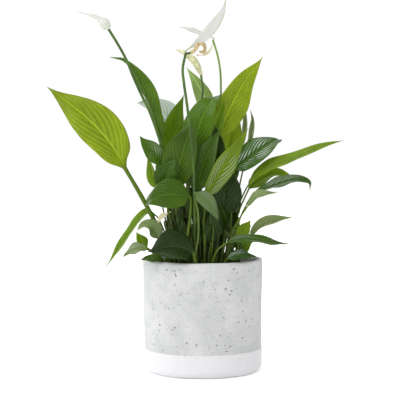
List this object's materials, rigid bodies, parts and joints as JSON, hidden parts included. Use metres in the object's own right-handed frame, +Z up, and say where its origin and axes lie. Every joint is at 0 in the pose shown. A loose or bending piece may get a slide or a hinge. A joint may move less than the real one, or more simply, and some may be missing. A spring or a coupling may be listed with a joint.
{
  "type": "potted peace lily",
  "caption": "Flowering peace lily with glossy pointed leaves and white spathes, growing in a round grey concrete pot with a white dipped base.",
  "frame": {"origin": "centre of the pot's flat base, on the surface that it stands on", "axes": "+Z up; -Y towards the front of the plant, which the long left leaf and the flowers face; +X to the viewer's right"},
  "size_m": [0.35, 0.2226, 0.44],
  "materials": {
    "concrete": "matte",
    "potting_soil": "matte",
    "deep_green_leaf": "satin",
    "fresh_green_leaf": "satin",
    "pale_green_leaf": "satin",
    "flower_stem": "satin",
    "spathe": "satin",
    "withered_spadix": "matte",
    "dry_bract": "matte"
  },
  "bodies": {
    "root": {"pot": "concrete", "soil": "potting_soil", "far_left_leaf": "fresh_green_leaf", "tall_left_leaf": "deep_green_leaf", "pale_left_back_leaf": "pale_green_leaf", "upright_left_leaf": "fresh_green_leaf", "left_pointed_leaf": "deep_green_leaf", "left_slim_leaf": "fresh_green_leaf", "left_arching_leaf": "fresh_green_leaf", "left_sage_leaf": "pale_green_leaf", "left_lime_leaf": "fresh_green_leaf", "left_low_pale_leaf": "pale_green_leaf", "left_rim_leaf": "deep_green_leaf", "big_centre_leaf": "deep_green_leaf", "bluish_centre_leaf": "deep_green_leaf", "round_front_leaf": "fresh_green_leaf", "small_centre_leaf": "pale_green_leaf", "low_front_leaf": "deep_green_leaf", "upper_centre_leaf": "deep_green_leaf", "light_strip_leaf": "fresh_green_leaf", "tall_right_leaf": "fresh_green_leaf", "pale_upper_leaf": "pale_green_leaf", "bright_back_leaf": "fresh_green_leaf", "dark_gap_leaf": "deep_green_leaf", "front_diagonal_leaf": "fresh_green_leaf", "olive_centre_leaf": "deep_green_leaf", "broad_dark_leaf": "deep_green_leaf", "striped_right_leaf": "deep_green_leaf", "long_right_leaf": "fresh_green_leaf", "bright_right_leaf": "fresh_green_leaf", "hooked_right_leaf": "deep_green_leaf", "pale_right_leaf": "pale_green_leaf", "slim_back_right_leaf": "pale_green_leaf", "thin_back_right_leaf": "pale_green_leaf", "wavy_right_leaf": "pale_green_leaf", "small_right_leaf": "fresh_green_leaf", "low_right_leaf": "deep_green_leaf", "low_bright_right_leaf": "fresh_green_leaf", "right_rim_leaf": "deep_green_leaf", "back_low_left_leaf": "deep_green_leaf", "back_low_middle_leaf": "deep_green_leaf", "back_low_right_leaf": "deep_green_leaf", "back_high_left_leaf": "deep_green_leaf", "back_high_middle_leaf": "deep_green_leaf", "back_high_right_leaf": "deep_green_leaf", "back_upright_leaf": "fresh_green_leaf", "back_slant_leaf": "deep_green_leaf", "left_flower_stem": "flower_stem", "main_flower_stem": "flower_stem", "closed_flower_stem": "flower_stem", "right_flower_stem": "flower_stem", "young_flower_stem": "flower_stem", "left_flower_spathe": "spathe", "main_flower_spathe": "spathe", "closed_flower_spathe": "spathe", "right_flower_spathe": "spathe", "young_flower_spathe": "dry_bract", "dry_bract": "dry_bract", "withered_spadix": "withered_spadix"}
  },
  "joints": []
}
